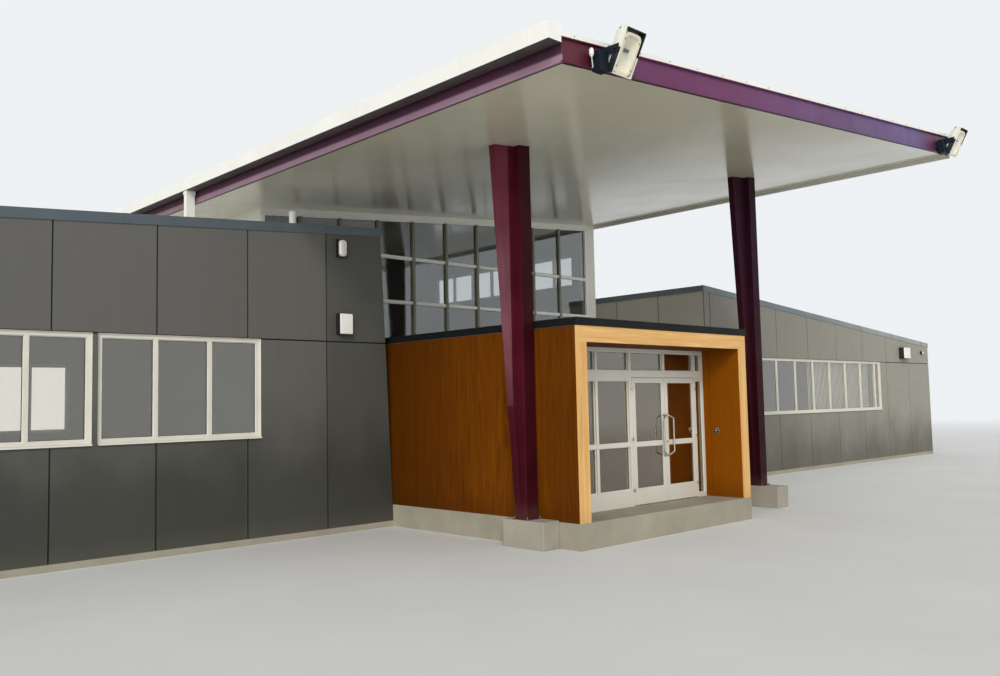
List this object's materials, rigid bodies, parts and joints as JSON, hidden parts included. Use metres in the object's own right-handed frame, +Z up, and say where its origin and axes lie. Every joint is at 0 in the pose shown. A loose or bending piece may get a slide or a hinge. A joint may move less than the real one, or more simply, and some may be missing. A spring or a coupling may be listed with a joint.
{
  "type": "school building entrance with two wings",
  "caption": "Single-storey school building: grey clad wings with ribbon windows, timber porch with a double glass door, glazed foyer and a sloping canopy on tapered columns.",
  "frame": {"origin": "on the ground at the porch's front left corner, on the flat underside of the floor slab", "axes": "+X to the right along the front, +Y to the back, +Z up"},
  "size_m": [36.841, 16.1081, 7.0836],
  "materials": {
    "concrete": "rough cast concrete",
    "wall_core": "matt painted plaster inside",
    "dark_cladding": "matt dark grey fibre-cement sheets",
    "light_cladding": "matt warm grey fibre-cement sheets",
    "cream_cladding": "matt cream sheets",
    "slate_coping": "satin dark slate",
    "roof_membrane": "matt dark roofing",
    "soffit_board": "glossy pale grey-beige lining",
    "purple_steel": "gloss purple paint",
    "maroon_steel": "satin maroon paint",
    "white_metal": "satin white paint",
    "white_aluminium": "satin white coated aluminium",
    "clear_glass": "clear glazing",
    "plywood": "orange-stained plywood",
    "pale_timber": "clear-finished pale timber",
    "steel_handles": "brushed steel tube",
    "lamp_white": "white lamp bodies",
    "bracket_navy": "dark navy paint",
    "dark_fitting": "dark plastic"
  },
  "bodies": {
    "building": {"barge_flashing": "white_metal", "canopy_fascia": "purple_steel", "canopy_roof": "roof_membrane", "canopy_soffit": "soffit_board", "column_pads": "concrete", "columns": "maroon_steel", "door_button": "dark_fitting", "door_hinges": "white_aluminium", "downpipe": "white_metal", "floodlight_brackets": "bracket_navy", "floodlights": "lamp_white", "floor_slab": "concrete", "foyer_corner_post": "white_metal", "foyer_front_beam": "cream_cladding", "foyer_front_wall": "cream_cladding", "foyer_left_wall": "cream_cladding", "foyer_panels": "cream_cladding", "foyer_rear_wall": "cream_cladding", "foyer_right_wall": "cream_cladding", "glazing_frame": "white_aluminium", "glazing_glass": "clear_glass", "gutter": "white_metal", "left_end_wall": "wall_core", "left_front_wall": "wall_core", "left_panels": "dark_cladding", "left_rear_wall": "wall_core", "left_return_wall": "wall_core", "link_wall": "wall_core", "porch_coping": "slate_coping", "porch_left_wall": "plywood", "porch_portal": "pale_timber", "porch_right_wall": "plywood", "porch_roof": "plywood", "right_end_wall": "wall_core", "right_front_wall": "wall_core", "right_panels": "light_cladding", "right_rear_wall": "wall_core", "right_return_wall": "wall_core", "screen_frame": "white_aluminium", "screen_glass": "clear_glass", "screen_transom": "white_aluminium", "side_window_frame": "white_aluminium", "side_window_glass": "clear_glass", "vent_pipe": "white_metal", "verge_flashing": "slate_coping", "wall_lamps": "lamp_white", "window_frames": "white_aluminium", "window_glass": "clear_glass", "wing_copings": "slate_coping", "wing_roofs": "roof_membrane"},
    "left_leaf": {"left_door": "white_aluminium", "left_door_glass": "clear_glass", "left_door_handles": "steel_handles"},
    "right_leaf": {"right_door": "white_aluminium", "right_door_glass": "clear_glass", "right_door_handles": "steel_handles"}
  },
  "joints": [
    {"name": "left_door_hinge", "type": "hinge", "parent": "building", "child": "left_leaf", "pos_m": [2.213, 0.748, 0.38], "axis": [0, 0, -1], "range_deg": [0, 90]},
    {"name": "right_door_hinge", "type": "hinge", "parent": "building", "child": "right_leaf", "pos_m": [3.989, 0.748, 0.38], "axis": [0, 0, 1], "range_deg": [0, 90]}
  ]
}
